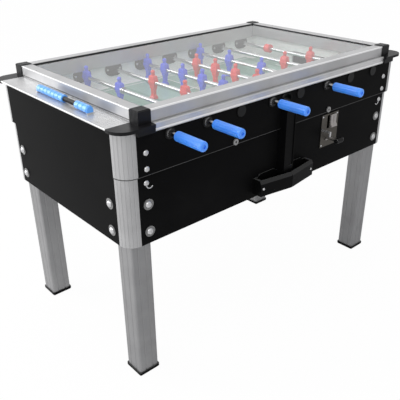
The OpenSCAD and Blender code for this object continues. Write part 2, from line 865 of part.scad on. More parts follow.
// Long rails, and grooved end shelves with the lugs of the score bars
module top_rails() {
    groove = 1.2;
    color(ALU) {
        sides() along_x(-cap_skirt_x0 + hair, cap_skirt_x0 - hair) difference() {
            translate([(rail_y0 + rail_y1) / 2, (z_rail0 + z_rail1) / 2])
                round_rect(rail_y1 - rail_y0, rail_h, 2);
            translate([rail_y0 + 4, z_rail0 + 4]) square([rail_y1 - rail_y0 - 9, rail_h - 8]);
            translate([frame_y1 + 4, z_rail1 - groove]) square([1.5, groove + 1]);
            translate([rail_y1 - rail_step, z_rail0 + rail_lip])
                square([rail_step + 1, rail_h - 2 * rail_lip]);
        }
        ends() along_y(-cap_y0 + hair, cap_y0 - hair) difference() {
            translate([(frame_x0 + skirt_t + hair + shelf_x1) / 2, z_rail1 - shelf_t / 2])
                round_rect(shelf_x1 - frame_x0 - skirt_t - hair, shelf_t, 2);
            for (x = [frame_x1 + 8 : 9 : shelf_x1 - 6])
                translate([x, z_rail1 - groove]) square([1.5, groove + 1]);
        }
        ends() for (y = [score_y0 - score_lug_t, score_y1]) along_y(y, y + score_lug_t) {
            translate([score_x, score_z]) circle(score_lug_r);
            translate([score_x - score_lug_r, z_rail1 - groove - 1])
                square([2 * score_lug_r, score_z - z_rail1 + groove + 1]);
        }
    }
}

// Corner caps: a plate over each column, a skirt on the long side and a square post
module corner_caps() {
    color(BLACK) corners() {
        translate([0, 0, z_rail1 - cap_t]) linear_extrude(cap_t) {
            difference() {
                translate([post_x0, cap_y0]) square([shelf_x1 - post_x0, cap_y1 - cap_y0]);
                translate([shelf_x1 - cap_r, cap_y1 - cap_r]) square(cap_r + 1);
            }
            translate([shelf_x1 - cap_r, cap_y1 - cap_r])
                intersection() { circle(cap_r, $fn = 96); square(cap_r); }
        }
        block([cap_skirt_x0, rail_y0, z_rail0], [half_l - column_r, cap_y1 - 5, z_rail1 - cap_t]);
        block([cap_skirt_x0, rail_y0, z_rail0], [post_x0 + 1, cap_y1 - 5, z_rail1]);
        post();
    }
}

// Square post with a bevelled top
module post() {
    y1 = frame_y1 + post_over;
    x1 = frame_x1 + post_over;
    intersection() {
        along_x(post_x0, x1) post_face(frame_y0, y1);
        along_y(frame_y0, y1) post_face(post_x0, x1);
    }
}

// Face of a post from a to b, its top corners bevelled
module post_face(a, b) {
    z0 = z_rail1 - 1;
    z1 = z_top + post_bevel;
    polygon([[a, z0], [b, z0], [b, z_top], [b - post_bevel, z1], [a + post_bevel, z1], [a, z_top]]);
}

// Section of a frame rail, a outwards from the inner edge and z up, with the glass slot
module frame_section(skirt_z) {
    difference() {
        union() {
            translate([0, z_rail1]) square([frame_w, frame_h]);
            translate([0, skirt_z]) square([skirt_t, z_rail1 - skirt_z + 1]);
        }
        translate([skirt_t + 2, z_rail1 + 3]) square([frame_w - skirt_t - 6, glass_z0 - z_rail1 - 7]);
        translate([-1, glass_z0 - 0.2]) square([glass_edge + 1.5, glass_t + 0.4]);
        translate([frame_w - base_groove[0], z_rail1 - 1])
            square([base_groove[0] + 1, base_groove[1] + 1]);
    }
}

module glass_frame() {
    color(ALU) {
        sides() along_x(-post_x0, post_x0)
            translate([frame_y0, 0]) frame_section(z_rail0);
        ends() along_y(-frame_y0, frame_y0)
            translate([frame_x0, 0]) frame_section(skirt_end_z);
    }
}

// Glass pane, its corners cut back round the posts
module glass_pane() {
    color([0.8, 0.9, 0.9, 0.3]) difference() {
        block([-frame_x0 - glass_edge, -frame_y0 - glass_edge, glass_z0],
              [frame_x0 + glass_edge, frame_y0 + glass_edge, glass_z0 + glass_t]);
        corners() block([post_x0 - hair, frame_y0 - hair, glass_z0 - 1],
                        [frame_x0 + glass_edge + 1, frame_y0 + glass_edge + 1, glass_z0 + glass_t + 1]);
    }
}

// Steel pieces of the upper cabinet: screws, bushing rings and hinge leaves
module upper_fixings() {
    color("gainsboro") {
        corners() for (z = screw_z)
            translate([screw_x, half_w, z]) rotate([90, 0, 0]) dome_screw(9.5, 6, screw_r, board_t + 20);
        for (i = [0 : rod_count - 1], my = [0, 1], s = [-1, 1])
            mirror([0, my, 0]) translate([rod_x(i) + s * screw_pitch / 2, flange_y0, z_rod])
                rotate([-90, 0, 0]) dome_screw(5, 2.5, 2, flange_t + wall_t - 1);
        for (i = [0 : rod_count - 1])
            mirror([0, grip_side[i] > 0 ? 0 : 1, 0]) difference() {
                bar_y(ring_r, half_w + collar_t, half_w + collar_t + ring_t, rod_x(i), z_rod);
                bar_y(nose_r + snug, half_w, half_w + 20, rod_x(i), z_rod);
            }
        for (s = [-1, 1]) translate([s * hinge_x, 0, 0]) upper_leaf();
    }
}

// Upper hinge leaf with the middle knuckle
module upper_leaf() {
    knuckle = hinge_l / 3;
    difference() {
        union() {
            block([-hinge_l / 2, half_w, z_up0 + 6], [hinge_l / 2, half_w + 3, z_up0 + 44]);
            block([-knuckle / 2 + hair, half_w, hinge_z], [knuckle / 2 - hair, half_w + 3, z_up0 + 7]);
            bar_x(hinge_r, -knuckle / 2 + hair, knuckle / 2 - hair, hinge_y, hinge_z);
        }
        bar_x(hinge_pin_r + running, -hinge_l, hinge_l, hinge_y, hinge_z);
    }
}

// Cam lock on the front board, its cam level when the lid is free
module lid_lock(side) {
    x = side * lock_x;
    inside = -low_w + lower_board_t + 2;
    color("gainsboro") {
        difference() {
            union() {
                bar_y(lock_r + 3, -half_w - 5, -half_w, x, lock_z);
                bar_y(lock_r, -half_w - 1, inside, x, lock_z);
            }
            block([x - 1, -half_w - 6, lock_z - 5], [x + 1, -half_w - 2, lock_z + 5]);
        }
        block([x - 6, inside, lock_z - 6], [x + 36, inside + 3, lock_z + 6]);
    }
}

// ---------------------------------------------------------------- score counters

module score_bars() {
    color(BLACK) ends() bar_y(score_bar_r, score_y0, score_y1, score_x, score_z);
}

// A row of beads that starts at y and goes towards -Y
module beads(count, y, side) {
    for (k = [0 : count - 1])
        translate([side * score_x, y - k * bead_l, score_z]) rotate([90, 0, 0])
            rotate_extrude() difference() {
                translate([0, 0.1]) bead_section();
                square([score_bar_r + running, bead_l]);
            }
}

// Half section of a bead with round edges
module bead_section() {
    r = 3;
    square([bead_d / 2 - r, bead_l - 0.2]);
    translate([0, r]) square([bead_d / 2, bead_l - 0.2 - 2 * r]);
    for (y = [r, bead_l - 0.2 - r]) translate([bead_d / 2 - r, y]) circle(r);
}

module beads_far(side) {
    color(side < 0 ? TEAM_NEAR : TEAM_FAR) beads(score_far_count, score_far_y, side);
}

module beads_near(side) {
    color(side < 0 ? TEAM_NEAR : TEAM_FAR)
        beads(score_near_count, score_far_y - score_far_count * bead_l - score_gap, side);
}

// ---------------------------------------------------------------- rods

// Distance between neighbouring players on a rod
function man_pitch(i) =
    men_on_rod[i] == 5 ? pitch_of_five : men_on_rod[i] == 3 ? pitch_of_three : pitch_of_two;

// Half the distance between the outermost stops of a rod
function half_span(i) = men_on_rod[i] == 1 ? goalie_stop : (men_on_rod[i] - 1) * man_pitch(i) / 2;

// Y of the middle of a rod's players at rest
function men_mid(i) = -grip_side[i] * (man_limit - half_span(i) - drawn_out[i]);

// Half length of the outermost piece on a rod
function end_half(i) = men_on_rod[i] == 1 ? goalie_stop_half : boss_half;

// Inner end of the stop collar, and outer end of its sleeve, on one side of a rod
function stop_start(i, s) = men_mid(i) + s * (half_span(i) + end_half(i));
function stop_end(i, s) = men_mid(i) + s * (half_span(i) + stop_reach);

module rod_inner(i) {
    s = grip_side[i];
    color("gray") bar_y(inner_d / 2, -s * (half_w - 1), s * inner_reach, rod_x(i), z_rod);
}

// Steel tube with a stop collar and a sleeve outside the outermost players
module rod_tube(i) {
    s = grip_side[i];
    grip_end = s * (grip_start + grip_l - tube_end_in_grip);
    color("gainsboro") difference() {
        union() {
            bar_y(tube_d / 2, stop_end(i, -s), grip_end, rod_x(i), z_rod);
            for (d = [-1, 1]) {
                y0 = stop_start(i, d);
                bar_y(stop_r, y0, y0 + d * stop_t, rod_x(i), z_rod);
                bar_y(sleeve_r, y0, stop_end(i, d), rod_x(i), z_rod);
            }
        }
        bar_y(inner_d / 2 + running, -s * half_w, grip_end + s, rod_x(i), z_rod);
    }
}

// Fluted grip with rounded ends and a recess in its outer end
module rod_grip(i) {
    s = grip_side[i];
    color(s < 0 ? TEAM_NEAR : TEAM_FAR)
        translate([rod_x(i), s * grip_start, z_rod]) rotate([-90 * s, 0, 0]) difference() {
            rotate_extrude() grip_section();
            for (k = [0 : flute_count - 1]) rotate([0, 0, 360 * k / flute_count])
                translate([grip_d / 2 + flute_r - flute_depth, 0, flute_margin])
                    cylinder(r = flute_r, h = grip_l - 2 * flute_margin);
        }
}

// Half section of a grip
module grip_section() {
    r = grip_d / 2;
    tube_l = grip_l - tube_end_in_grip;
    difference() {
        union() {
            translate([0, grip_edge]) square([r, grip_l - 2 * grip_edge]);
            square([r - grip_edge, grip_l]);
            for (z = [grip_edge, grip_l - grip_edge]) translate([r - grip_edge, z]) circle(grip_edge);
        }
        translate([0, -1]) square([tube_d / 2 + snug, tube_l + 1 + snug]);
        translate([0, grip_l - 4]) square([6, 5]);
        translate([-grip_l, -1]) square([grip_l, grip_l + 2]);
    }
}

// Half outline of a player seen along X, as shares of its half width and of its
// height above or depth below the rod
function man_front() = [[0, 0.72], [0.3, 0.72], [0.3, 0.57], [0.76, 0.53], [0.94, 0.43], [1, 0],
    [0.97, -0.17], [0.79, -0.22], [0.67, -0.22], [0.7, -0.36], [0.53, -0.41], [0.5, -0.76],
    [0.67, -0.82], [0.67, -1], [0, -1]];

// Half outline of a player seen along Y, as shares of its half depth and of its
// height above or depth below the rod
function man_side() = [[0, 0.72], [0.42, 0.72], [0.46, 0.55], [0.71, 0.49], [0.92, 0.26], [0.96, 0],
    [0.79, -0.21], [0.71, -0.36], [0.57, -0.42], [0.5, -0.73], [0.67, -0.82], [0.96, -0.89], [1, -1],
    [0, -1]];

// A half outline at a player's size, with half width w
function at_size(p, w) = [for (q = p) [q[0] * w, q[1] * (q[1] > 0 ? man_head : man_foot)]];

function mirrored(p) = concat(p, [for (k = [len(p) - 1 : -1 : 0]) [-p[k][0], p[k][1]]]);

// One player on a rod along Y, with its foot down
module man() {
    difference() {
        union() {
            intersection() {
                along_x(-man_w, man_w) polygon(mirrored(at_size(man_front(), man_w / 2)));
                along_y(-man_w, man_w) polygon(mirrored(at_size(man_side(), man_d / 2)));
                translate([0, 0, -man_foot - 1]) linear_extrude(man_foot + man_head)
                    round_rect(man_d + 2, man_w, man_corner);
            }
            translate([0, 0, man_head - man_head_r]) sphere(man_head_r);
            bar_y(man_boss_r, -boss_half, boss_half);
        }
        bar_y(tube_d / 2 + snug, -man_w, man_w);
    }
}

// The players of a rod; a goalkeeper's rod has two stop rings instead of neighbours
module rod_men(i) {
    n = men_on_rod[i];
    color(grip_side[i] < 0 ? TEAM_NEAR : TEAM_FAR) {
        for (k = [0 : n - 1])
            translate([rod_x(i), men_mid(i) + (k - (n - 1) / 2) * man_pitch(i), z_rod]) man();
        if (n == 1) for (d = [-1, 1])
            translate([rod_x(i), men_mid(i) + d * goalie_stop, z_rod]) difference() {
                bar_y(goalie_stop_r, -goalie_stop_half, goalie_stop_half);
                bar_y(tube_d / 2 + snug, -goalie_stop_half - 1, goalie_stop_half + 1);
            }
    }
}

// ---------------------------------------------------------------- assembly

legs();
foot_caps();
lower_columns();
lower_panels();
lower_fixings();
ball_return();
coin_plate();
ball_runs();
coin_slide();
ball_gate();
upper_columns();
upper_panels();
playfield();
inner_walls();
ball_guides();
rod_bearings();
top_rails();
corner_caps();
glass_frame();
glass_pane();
upper_fixings();
score_bars();
beads_far(-1);  // score_beads_left_far
beads_near(-1);  // score_beads_left_near
beads_far(1);  // score_beads_right_far
beads_near(1);  // score_beads_right_near
lid_lock(-1);  // lid_lock_left
lid_lock(1);  // lid_lock_right
rod_inner(0);  // rod1_inner
rod_tube(0);  // rod1_tube
rod_men(0);  // rod1_men
rod_grip(0);  // rod1_grip
rod_inner(1);  // rod2_inner
rod_tube(1);  // rod2_tube
rod_men(1);  // rod2_men
rod_grip(1);  // rod2_grip
rod_inner(2);  // rod3_inner
rod_tube(2);  // rod3_tube
rod_men(2);  // rod3_men
rod_grip(2);  // rod3_grip
rod_inner(3);  // rod4_inner
rod_tube(3);  // rod4_tube
rod_men(3);  // rod4_men
rod_grip(3);  // rod4_grip
rod_inner(4);  // rod5_inner
rod_tube(4);  // rod5_tube
rod_men(4);  // rod5_men
rod_grip(4);  // rod5_grip
rod_inner(5);  // rod6_inner
rod_tube(5);  // rod6_tube
rod_men(5);  // rod6_men
rod_grip(5);  // rod6_grip
rod_inner(6);  // rod7_inner
rod_tube(6);  // rod7_tube
rod_men(6);  // rod7_men
rod_grip(6);  // rod7_grip
rod_inner(7);  // rod8_inner
rod_tube(7);  // rod8_tube
rod_men(7);  // rod8_men
rod_grip(7);  // rod8_grip
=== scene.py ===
"""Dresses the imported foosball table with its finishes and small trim, and sets up the studio."""

import logging
import math
from dataclasses import dataclass
from enum import Enum

import bmesh
import bpy
from mathutils import Matrix, Vector

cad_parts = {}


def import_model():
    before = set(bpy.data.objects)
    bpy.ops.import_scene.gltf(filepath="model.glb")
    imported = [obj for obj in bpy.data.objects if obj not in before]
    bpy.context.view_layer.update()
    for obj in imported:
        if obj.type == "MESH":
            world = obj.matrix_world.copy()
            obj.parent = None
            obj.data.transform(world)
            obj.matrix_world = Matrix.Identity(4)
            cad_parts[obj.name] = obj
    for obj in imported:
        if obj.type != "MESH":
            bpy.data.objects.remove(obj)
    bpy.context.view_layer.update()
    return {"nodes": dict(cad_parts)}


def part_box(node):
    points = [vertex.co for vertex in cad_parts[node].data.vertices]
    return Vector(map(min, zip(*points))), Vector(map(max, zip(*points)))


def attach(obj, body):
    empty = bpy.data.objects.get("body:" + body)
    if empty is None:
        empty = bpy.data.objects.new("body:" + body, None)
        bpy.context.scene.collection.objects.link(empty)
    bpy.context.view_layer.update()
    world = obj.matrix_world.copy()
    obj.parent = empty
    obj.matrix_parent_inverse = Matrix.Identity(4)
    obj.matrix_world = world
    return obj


log = logging.getLogger("foosball_table")

Colour = tuple[float, float, float]
Point = tuple[float, float, float]
Strip = tuple[float, float, float, float]
Profile = tuple[tuple[float, float], ...]

# How strongly the studio's bright side lies towards -X and towards +Y
BRIGHT_X = 0.65
BRIGHT_Y = 0.75
WHITE = (1.0, 1.0, 1.0, 1.0)


class Axis(Enum):
    """A direction of the table."""

    X = 0
    Y = 1
    Z = 2


class Team(Enum):
    """The two sides of the game."""

    NEAR = -1
    FAR = 1


class Value:
    """A shader socket that takes part in Python expressions."""

    def __init__(self, graph: "Graph", socket: "bpy.types.NodeSocket | None") -> None:
        """Wraps a socket.

        Args:
            graph: The graph that the socket belongs to.
            socket: The output socket to wrap, or None for a node without outputs.
        """
        self.graph = graph
        self.socket = socket

    def maths(self, operation: str, *others: "float | Value") -> "Value":
        """Adds a Math node.

        Args:
            operation: The Math node's operation.
            others: The operands after this value.

        Returns:
            The result.
        """
        inputs = dict(enumerate((self, *others)))
        return self.graph.add("ShaderNodeMath", {"operation": operation}, inputs)

    def __add__(self, other: "float | Value") -> "Value":
        """Adds a number or value."""
        return self.maths("ADD", other)

    __radd__ = __add__

    def __sub__(self, other: "float | Value") -> "Value":
        """Subtracts a number or value."""
        return self.maths("SUBTRACT", other)

    def __rsub__(self, other: float) -> "Value":
        """Subtracts this value from a number."""
        return self.graph.number(other).maths("SUBTRACT", self)

    def __mul__(self, other: "float | Value") -> "Value":
        """Multiplies by a number or value."""
        return self.maths("MULTIPLY", other)

    __rmul__ = __mul__

    def __truediv__(self, other: "float | Value") -> "Value":
        """Divides by a number or value."""
        return self.maths("DIVIDE", other)

    def __abs__(self) -> "Value":
        """Gives the value without its sign."""
        return self.maths("ABSOLUTE")

    def __mod__(self, other: "float | Value") -> "Value":
        """Gives the remainder, always positive."""
        return self.maths("FLOORED_MODULO", other)

    def __lt__(self, other: "float | Value") -> "Value":
        """Gives 1 where this value is less."""
        return self.maths("LESS_THAN", other)

    def __gt__(self, other: "float | Value") -> "Value":
        """Gives 1 where this value is greater."""
        return self.maths("GREATER_THAN", other)

    def __or__(self, other: "float | Value") -> "Value":
        """Gives the greater of two values, which joins two masks."""
        return self.maths("MAXIMUM", other)

    def __and__(self, other: "float | Value") -> "Value":
        """Gives the lesser of two values, which crosses two masks."""
        return self.maths("MINIMUM", other)

    def smooth(self, low: float, high: float, start: float = 0.0, end: float = 1.0) -> "Value":
        """Maps a range smoothly onto another.

        Args:
            low: The value that gives start.
            high: The value that gives end.
            start: The result at low and below.
            end: The result at high and above.

        Returns:
            The mapped value.
        """
        sockets = {"Value": self, "From Min": low, "From Max": high, "To Min": start, "To Max": end}
        return self.graph.add("ShaderNodeMapRange", {"interpolation_type": "SMOOTHSTEP"}, sockets)


class Graph:
    """A material's or a world's node graph."""

    def __init__(self, owner: "bpy.types.Material | bpy.types.World") -> None:
        """Clears the owner's nodes, and keeps its tree and its kind of output node.

        Args:
            owner: The material or world to build.
        """
        owner.use_nodes = True
        self.tree = owner.node_tree
        self.tree.nodes.clear()
        kind = "World" if isinstance(owner, bpy.types.World) else "Material"
        self.output = f"ShaderNodeOutput{kind}"

    def add(
        self,
        kind: str,
        settings: "dict[str, object] | None" = None,
        inputs: "dict[int | str, object] | None" = None,
        output: "int | str" = 0,
    ) -> Value:
        """Adds a node.

        Args:
            kind: The node's type.
            settings: The node's properties, set first.
            inputs: Values or links by socket name or number.
            output: The output to return.

        Returns:
            The chosen output.
        """
        node = self.tree.nodes.new(kind)
        for name, value in (settings or {}).items():
            setattr(node, name, value)
        for name, value in (inputs or {}).items():
            if isinstance(value, Value):
                self.tree.links.new(value.socket, node.inputs[name])
            else:
                node.inputs[name].default_value = value
        return Value(self, node.outputs[output] if len(node.outputs) else None)

    def number(self, value: float) -> Value:
        """Gives a constant as a value."""
        node = self.tree.nodes.new("ShaderNodeValue")
        node.outputs[0].default_value = value
        return Value(self, node.outputs[0])

    def parts(self, vector: Value) -> "tuple[Value, Value, Value]":
        """Gives the X, Y and Z of a vector."""
        split = self.add("ShaderNodeSeparateXYZ", inputs={0: vector})
        x, y, z = (Value(self, socket) for socket in split.socket.node.outputs)
        return x, y, z

    def place(self) -> "tuple[Value, Value, Value]":
        """Gives the X, Y and Z of the point on the table, in metres."""
        return self.parts(self.add("ShaderNodeTexCoord", output="Object"))

    def upward(self) -> Value:
        """Gives how far the surface faces up, from -1 to 1."""
        return self.parts(self.add("ShaderNodeNewGeometry", output="Normal"))[2]

    def noise(self, scale: Point, detail: float = 3.0, roughness: float = 0.5) -> Value:
        """Gives stretched noise from 0 to 1.

        Args:
            scale: The pattern's count per metre along X, Y and Z.
            detail: The number of octaves.
            roughness: The weight of the finer octaves.

        Returns:
            The noise.
        """
        point = self.add("ShaderNodeTexCoord", output="Object")
        placed = self.add("ShaderNodeMapping", inputs={"Vector": point, "Scale": scale})
        sockets = {"Vector": placed, "Scale": 1.0, "Detail": detail, "Roughness": roughness}
        return self.add("ShaderNodeTexNoise", inputs=sockets)

    def mix(self, mask: "Value | float", base: "Value | Colour", over: "Value | Colour") -> Value:
        """Mixes two colours.

        Args:
            mask: 0 for base and 1 for over.
            base: The colour under the mask.
            over: The colour where the mask is 1.

        Returns:
            The mixed colour.
        """
        # The Mix node has a set of sockets for each data type, so its colour sockets go by number
        sockets = {0: mask, 6: self.rgba(base), 7: self.rgba(over)}
        return self.add("ShaderNodeMix", {"data_type": "RGBA"}, sockets, output=2)

    @staticmethod
    def rgba(colour: "Value | Colour") -> "Value | tuple[float, float, float, float]":
        """Gives a colour with its alpha, and leaves a value as it is."""
        return colour if isinstance(colour, Value) else (*colour, 1.0)

    def bump(self, height: Value, unit: float = 1.0) -> Value:
        """Gives a normal from a height.

        Args:
            height: The height.
            unit: How much a height of 1 is, in metres.

        Returns:
            The normal.
        """
        sockets = {"Height": height, "Distance": unit, "Strength": 1.0}
        return self.add("ShaderNodeBump", inputs=sockets)

    def blend(self, mask: Value, base: Value, over: Value) -> Value:
        """Mixes two shaders, base where the mask is 0 and over where it is 1."""
        return self.add("ShaderNodeMixShader", inputs={0: mask, 1: base, 2: over})

    def ray(self, kind: str) -> Value:
        """Gives 1 for rays of a kind, Camera, Glossy or Transmission, and 0 for the others."""
        return self.add("ShaderNodeLightPath", output=f"Is {kind} Ray")

    def seen(self, share: Value, camera: float = 1.0) -> Value:
        """Gives the mask of the rays that show the white backdrop.

        Args:
            share: How much of it a reflection shows, from 0 to 1.
            camera: How much of it the eye shows.

        Returns:
            The mask.
        """
        return (self.ray("Camera") * camera) | self.ray("Transmission") | (self.ray("Glossy") * share)

    def principled(self, **sockets: object) -> None:
        """Sends a Principled shader to the output.

        Args:
            sockets: The values of its sockets, with underscores for spaces.
        """
        inputs = {"IOR": 1.5}
        inputs.update((name.replace("_", " "), value) for name, value in sockets.items())
        self.surface(self.add("ShaderNodeBsdfPrincipled", inputs=inputs))

    def surface(self, shader: Value) -> None:
        """Sends a shader to the output."""
        self.add(self.output, inputs={"Surface": shader})


@dataclass(frozen=True)
class Finish:
    """A surface finish that makes one material."""

    name: str

    def material(self) -> bpy.types.Material:
        """Makes the material, or gives the one made before."""
        label = f"{self.name}_finish"
        found = bpy.data.materials.get(label)
        if found is None:
            found = bpy.data.materials.new(label)
            self.paint(Graph(found))
        return found

    def paint(self, graph: Graph) -> None:
        """Builds the finish.

        Args:
            graph: The material's graph.
        """
        raise NotImplementedError


@dataclass(frozen=True)
class Metal(Finish):
    """Metal with a fine drawn grain and light handling marks."""

    colour: Colour = (0.7, 0.7, 0.72)
    grain: Axis = Axis.Z
    rough: float = 0.34
    grain_depth: float = 0.00002
    tarnish: float = 0.12
    bare: float = 1.0
    across: float = 900.0
    along: float = 6.0
    cloud_count: float = 7.0
    grain_rough: float = 0.12
    cloud_rough: float = 0.14
    mark_rough: float = 0.08

    def paint(self, graph: Graph) -> None:
        """Builds grain along one axis, cloudy tarnish and small scratches.

        Args:
            graph: The material's graph.
        """
        scale = tuple(self.along if axis is self.grain else self.across for axis in Axis)
        grain = graph.noise(scale, detail=4.0, roughness=0.6)
        clouds = graph.noise((self.cloud_count,) * 3, detail=4.0, roughness=0.6)
        scratches = graph.noise(tuple(3.0 * count ** 0.75 for count in scale), detail=2.0)
        marks = scratches.smooth(0.70, 0.78)
        dark = tuple(c * (1.0 - 1.6 * self.tarnish) for c in self.colour)
        colour = graph.mix(clouds.smooth(0.40, 0.72) * 0.6 + grain * 0.3, self.colour, dark)
        height = (grain + marks * 0.5) * self.grain_depth
        colour, bare, height = self.worked(graph, colour, height)
        rough = (
            self.rough + (grain - 0.5) * self.grain_rough + (clouds - 0.5) * self.cloud_rough
            + marks * self.mark_rough)
        graph.principled(
            Base_Color=colour, Metallic=bare, Roughness=rough, Normal=graph.bump(height))

    def worked(
        self, graph: Graph, colour: Value, height: Value
    ) -> "tuple[Value, Value | float, Value]":
        """Gives the surface with any painted edge highlights, painted seam shade and painted places.

        Args:
            graph: The material's graph.
            colour: The metal's plain colour.
            height: The height of its grain, in metres.

        Returns:
            The colour, the share of bare metal and the height, here unchanged.
        """
        return colour, self.bare, height


@dataclass(frozen=True)
class EdgedMetal(Metal):
    """Drawn metal with rounded long edges that carry a painted highlight, and with painted lugs.

    An edge or a seam is the least X, the least Y, the lowest Z and the highest Z, in metres, of a
    place that is the same on both sides of the table. An edge is painted light as a highlight and a
    seam is painted dark as shade. Above lug_level the metal is painted, in one colour on the left
    and another on the right.
    """

    edges: "tuple[Strip, ...]" = ()
    seams: "tuple[Strip, ...]" = ()
    # Painted shade colour in the seams
    seam_shade: Colour = (0.08, 0.08, 0.08)
    # Painted highlight colour on the edges
    edge_highlight: Colour = (0.95, 0.95, 0.96)
    cover: float = 0.9
    # How much the metal share drops on the painted edge highlight
    highlight_matte: float = 0.6
    slope: float = 1.0
    lug_level: float = 10.0
    left_paint: Colour = (0.12, 0.40, 0.98)
    right_paint: Colour = (0.80, 0.05, 0.03)

    def worked(
        self, graph: Graph, colour: Value, height: Value
    ) -> "tuple[Value, Value | float, Value]":
        """Rounds the edges and paints highlights on them, shade in the seams, and the lugs.

        Args:
            graph: The material's graph.
            colour: The metal's plain colour.
            height: The height of its grain, in metres.

        Returns:
            The colour, the share of bare metal and the height.
        """
        x, y, z = graph.place()
        bare = graph.number(self.bare)
        # Paints a highlight on each edge strip and shade in each seam strip
        for strips, tone in ((self.edges, self.edge_highlight), (self.seams, self.seam_shade)):
            for least_x, least_y, low, high in strips:
                mask = (abs(x) > least_x) & (abs(y) > least_y) & (z > low) & (z < high)
                colour = graph.mix(mask * self.cover, colour, tone)
                if strips is self.edges:
                    height = height - mask * (z - low) * self.slope
                    bare = bare - mask * self.highlight_matte
        painted = z > self.lug_level
        colour = graph.mix(painted & (x < 0.0), colour, self.left_paint)
        colour = graph.mix(painted & (x > 0.0), colour, self.right_paint)
        return colour, bare * (1.0 - painted), height


@dataclass(frozen=True)
class BoltSteel(Metal):
    """Bright steel with painted shade on the washers around the domed heads of the leg bolts."""

    bolt_x: float = 0.610
    bolt_y: float = 0.298
    bolt_z: "tuple[float, float]" = (0.588, 0.683)
    head_radius: float = 0.0112
    washer_radius: float = 0.020
    face_x: float = 0.6935
    face_y: float = 0.3815
    # Painted shade colour for the washers around the bolt heads
    washer_shade: Colour = (0.22, 0.22, 0.22)

    def worked(
        self, graph: Graph, colour: Value, height: Value
    ) -> "tuple[Value, Value | float, Value]":
        """Paints shade on the washers around the bolt heads.

        Args:
            graph: The material's graph.
            colour: The metal's plain colour.
            height: The height of its grain, in metres.

        Returns:
            The colour, the share of bare metal and the height.
        """
        x, y, z = graph.place()
        rise = abs(z - self.bolt_z[0]) & abs(z - self.bolt_z[1])
        for face, bolt, along, across in (
            (self.face_y, self.bolt_x, x, y), (self.face_x, self.bolt_y, y, x),
        ):
            aside = abs(along) - bolt
            radius = (aside * aside + rise * rise).maths("SQRT")
            ring = (radius > self.head_radius) & (radius < self.washer_radius)
            # Paints shade on the washer ring around each bolt head
            colour = graph.mix(ring & (abs(across) > face), colour, self.washer_shade)
        return colour, self.bare, height


@dataclass(frozen=True)
class BushSteel(Metal):
    """Bright steel whose faces beyond a distance from the middle are black bearing rings."""

    ring_face: float = 0.4027
    ring_level: float = 0.87
    ring: Colour = (0.02, 0.02, 0.02)

    def worked(
        self, graph: Graph, colour: Value, height: Value
    ) -> "tuple[Value, Value | float, Value]":
        """Blackens the ring faces.

        Args:
            graph: The material's graph.
            colour: The metal's plain colour.
            height: The height of its grain, in metres.

        Returns:
            The colour, the share of bare metal and the height.
        """
        _, y, z = graph.place()
        face = (abs(y) > self.ring_face) & (z > self.ring_level)
        return graph.mix(face, colour, self.ring), self.bare, height


@dataclass(frozen=True)
class CoinSteel(Metal):
    """Dark steel of the coin plate, with a brighter slot block that stands out in front of it."""

    plate_face: float = 0.3858
    block: Colour = (0.36, 0.34, 0.33)
    block_bare: float = 0.5

    def worked(
        self, graph: Graph, colour: Value, height: Value
    ) -> "tuple[Value, Value | float, Value]":
        """Brightens the slot block.

        Args:
            graph: The material's graph.
            colour: The metal's plain colour.
            height: The height of its grain, in metres.

        Returns:
            The colour, the share of bare metal and the height.
        """
        _, y, _ = graph.place()
        front = y < -self.plate_face
        bare = 1.0 - front * (1.0 - self.block_bare)
        return graph.mix(front, colour, self.block), bare, height


@dataclass(frozen=True)
class Laminate(Finish):
    """Hard laminate on board with a fine pebble texture, dust and light scuffs."""

    colour: Colour = (0.004, 0.004, 0.0042)
    rough: float = 0.40
    pebble: float = 0.00004
    dust: float = 0.003
    shine: float = 0.02
    pebble_count: float = 700.0
    cloud_count: Point = (4.0, 4.0, 6.0)
    scuff_count: Point = (30.0, 30.0, 240.0)
    cloud_rough: float = 0.16
    scuff_rough: float = 0.10

    def paint(self, graph: Graph) -> None:
        """Builds the pebble texture, dust and scuffs.

        Args:
            graph: The material's graph.
        """
        pebble = graph.noise((self.pebble_count,) * 3, detail=2.0)
        clouds = graph.noise(self.cloud_count, detail=5.0, roughness=0.6)
        scuffs = graph.noise(self.scuff_count).smooth(0.66, 0.76)
        dusty = tuple(min(1.0, c + self.dust) for c in self.colour)
        colour = graph.mix(clouds.smooth(0.35, 0.75) * 0.7 + scuffs * 0.3, self.colour, dusty)
        rough = self.rough + (clouds - 0.5) * self.cloud_rough + scuffs * self.scuff_rough
        graph.principled(
            Base_Color=colour, Roughness=rough, Specular_IOR_Level=self.shine,
            Normal=graph.bump(pebble, self.pebble))


